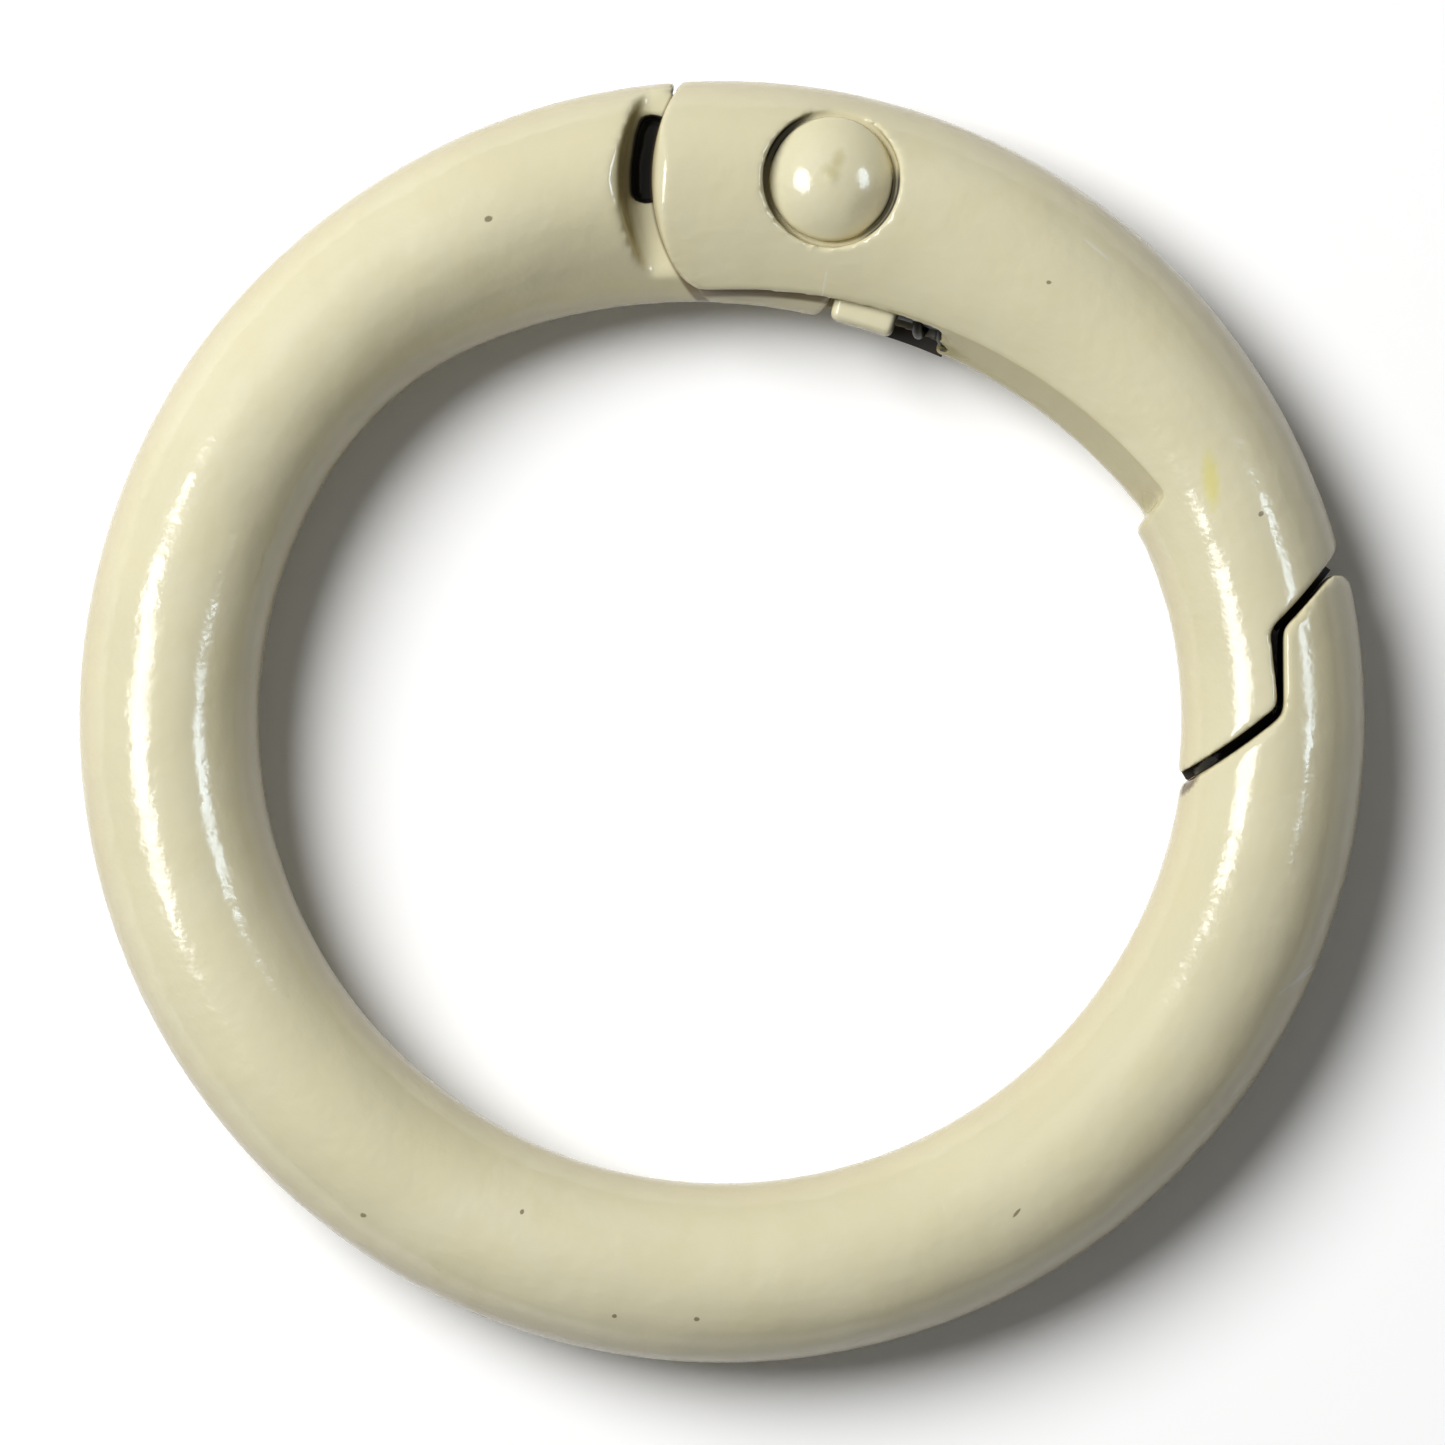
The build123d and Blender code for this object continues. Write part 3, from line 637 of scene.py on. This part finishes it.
def rounded_mesh(node, voxel, rounding):
    """The node's own form as one even mesh, with every edge and corner softly rounded."""
    rough = bpy.data.objects.new(node + "_form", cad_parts[node].data.copy())
    bpy.context.scene.collection.objects.link(rough)
    remesh = rough.modifiers.new("even_grid", "REMESH")
    remesh.mode = "VOXEL"
    remesh.voxel_size = voxel
    smooth = rough.modifiers.new("paint_rounding", "SMOOTH")
    smooth.factor = COAT_SMOOTHING
    smooth.iterations = rounding
    bpy.context.view_layer.update()
    shaped = bpy.data.meshes.new_from_object(rough.evaluated_get(bpy.context.evaluated_depsgraph_get()))
    bpy.data.objects.remove(rough)
    shaped.shade_smooth()
    return shaped


def coat(node, body, fineness, material):
    """The thick coating over a node, in the node's own form."""
    piece = add_piece(node + "_coat", rounded_mesh(node, *fineness), material)
    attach(piece, body)
    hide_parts(node)


def make_camera():
    """Straight above the ring, with the picture's own frame."""
    middle = photo_point(PICTURE_WIDTH / 2, PICTURE_WIDTH / 2)
    width = PICTURE_WIDTH / PIXELS_PER_MM * MM
    data = bpy.data.cameras.new("camera")
    data.sensor_width = SENSOR_WIDTH
    data.lens = SENSOR_WIDTH * CAMERA_HEIGHT / width
    data.clip_start = CAMERA_NEAR
    camera = bpy.data.objects.new("camera", data)
    camera.location = (middle.x, middle.y, HALF_SECTION + CAMERA_HEIGHT)
    bpy.context.scene.collection.objects.link(camera)
    bpy.context.scene.camera = camera


def make_lamp(name, azimuth, zenith, size, power, colour, mirrored=True, lights=True):
    """A softbox that faces the ring from azimuth, counter-clockwise from +X, and zenith, in degrees."""
    data = bpy.data.lights.new(name, "AREA")
    data.shape = "ELLIPSE"
    data.size, data.size_y = size
    data.energy = power
    data.color = colour
    lamp = bpy.data.objects.new(name, data)
    a, z = math.radians(azimuth), math.radians(zenith)
    towards = Vector((math.cos(a) * math.sin(z), math.sin(a) * math.sin(z), math.cos(z)))
    lamp.location = towards * LAMP_DISTANCE
    lamp.rotation_euler = (-lamp.location).to_track_quat("-Z", "Y").to_euler()
    lamp.visible_glossy = mirrored
    lamp.visible_diffuse = lights
    bpy.context.scene.collection.objects.link(lamp)


def make_world():
    """Even soft daylight round the ring."""
    world = bpy.data.worlds.new("studio")
    bpy.context.scene.world = world
    world.use_nodes = True
    back = world.node_tree.nodes["Background"]
    back.inputs["Color"].default_value = DAYLIGHT
    back.inputs["Strength"].default_value = DAYLIGHT_STRENGTH


def larger(tree, first, second):
    """The larger of two outputs in a node tree."""
    step = tree.nodes.new("ShaderNodeMath")
    step.operation = "MAXIMUM"
    tree.links.new(first, step.inputs[0])
    tree.links.new(second, step.inputs[1])
    return step.outputs[0]


def floor_paper():
    """Paper that looks white to the eye and in reflections, and lights the ring as grey paper does."""
    material = bpy.data.materials.new("floor_paper")
    material.use_nodes = True
    tree = material.node_tree
    tree.nodes.remove(tree.nodes["Principled BSDF"])
    rays = tree.nodes.new("ShaderNodeLightPath").outputs
    clear = larger(tree, rays["Is Glossy Ray"], rays["Is Transmission Ray"])
    mix = tree.nodes.new("ShaderNodeMixShader")
    tree.links.new(larger(tree, rays["Is Camera Ray"], clear), mix.inputs["Fac"])
    for place, colour in ((1, PAPER), (2, BRIGHT_PAPER)):
        paper = tree.nodes.new("ShaderNodeBsdfDiffuse")
        paper.inputs["Color"].default_value = colour
        tree.links.new(paper.outputs[0], mix.inputs[place])
    tree.links.new(mix.outputs[0], tree.nodes["Material Output"].inputs["Surface"])
    return material


def make_floor():
    """A plain pale table top, white to the camera where nothing shades it."""
    corners = [(x * FLOOR_REACH, y * FLOOR_REACH, 0) for x, y in ((-1, -1), (1, -1), (1, 1), (-1, 1))]
    mesh = bpy.data.meshes.new("floor")
    mesh.from_pydata(corners, [], [(0, 1, 2, 3)])
    add_piece("floor", mesh, floor_paper())


make_camera()
make_world()
make_floor()
make_lamp("key_left", *KEY_LEFT, lights=False)
make_lamp("main_soft", *MAIN_SOFT, mirrored=False)
make_lamp("fill_right", *FILL_RIGHT, lights=False)

# Dark strips that stand in for the shade in the joint gaps and in the bay.
joint_shade_metal = bare_metal_shade("joint_shade_metal")
shade_flash_strip("shade_flash_outer", "gate", "gate_enamel", PIVOT, *NOSE_OUTER_FLASH, joint_shade_metal)
shade_flash_strip("shade_flash_inner", "gate", "gate_enamel", PIVOT, *NOSE_INNER_FLASH, joint_shade_metal)
shade_flash_strip("shade_flash_bay", "gate", "gate_enamel", BAY_LIP_MIDDLE, *BAY_LIP, joint_shade_metal)
shade_flash_strip("shade_flash_nose", "ring", "ring_enamel", NOSE_SIDE_MIDDLE, *NOSE_SIDE_FLASH, joint_shade_metal)
coat("ring_body", "ring", RING_COAT, enamel("ring_enamel", 0.0, ring_marks))
coat("gate_arm", "gate", GATE_COAT, enamel("gate_enamel", 1.7, gate_marks))
coat("pivot_pin", "ring", PIN_COAT, enamel("pin_enamel", 3.1, pin_marks))
coat("plunger", "plunger_block", PLUNGER_COAT, enamel("plunger_enamel", 4.3))
coil("return_spring", oiled_steel("spring_steel"))

bpy.context.scene.view_settings.view_transform = "Standard"
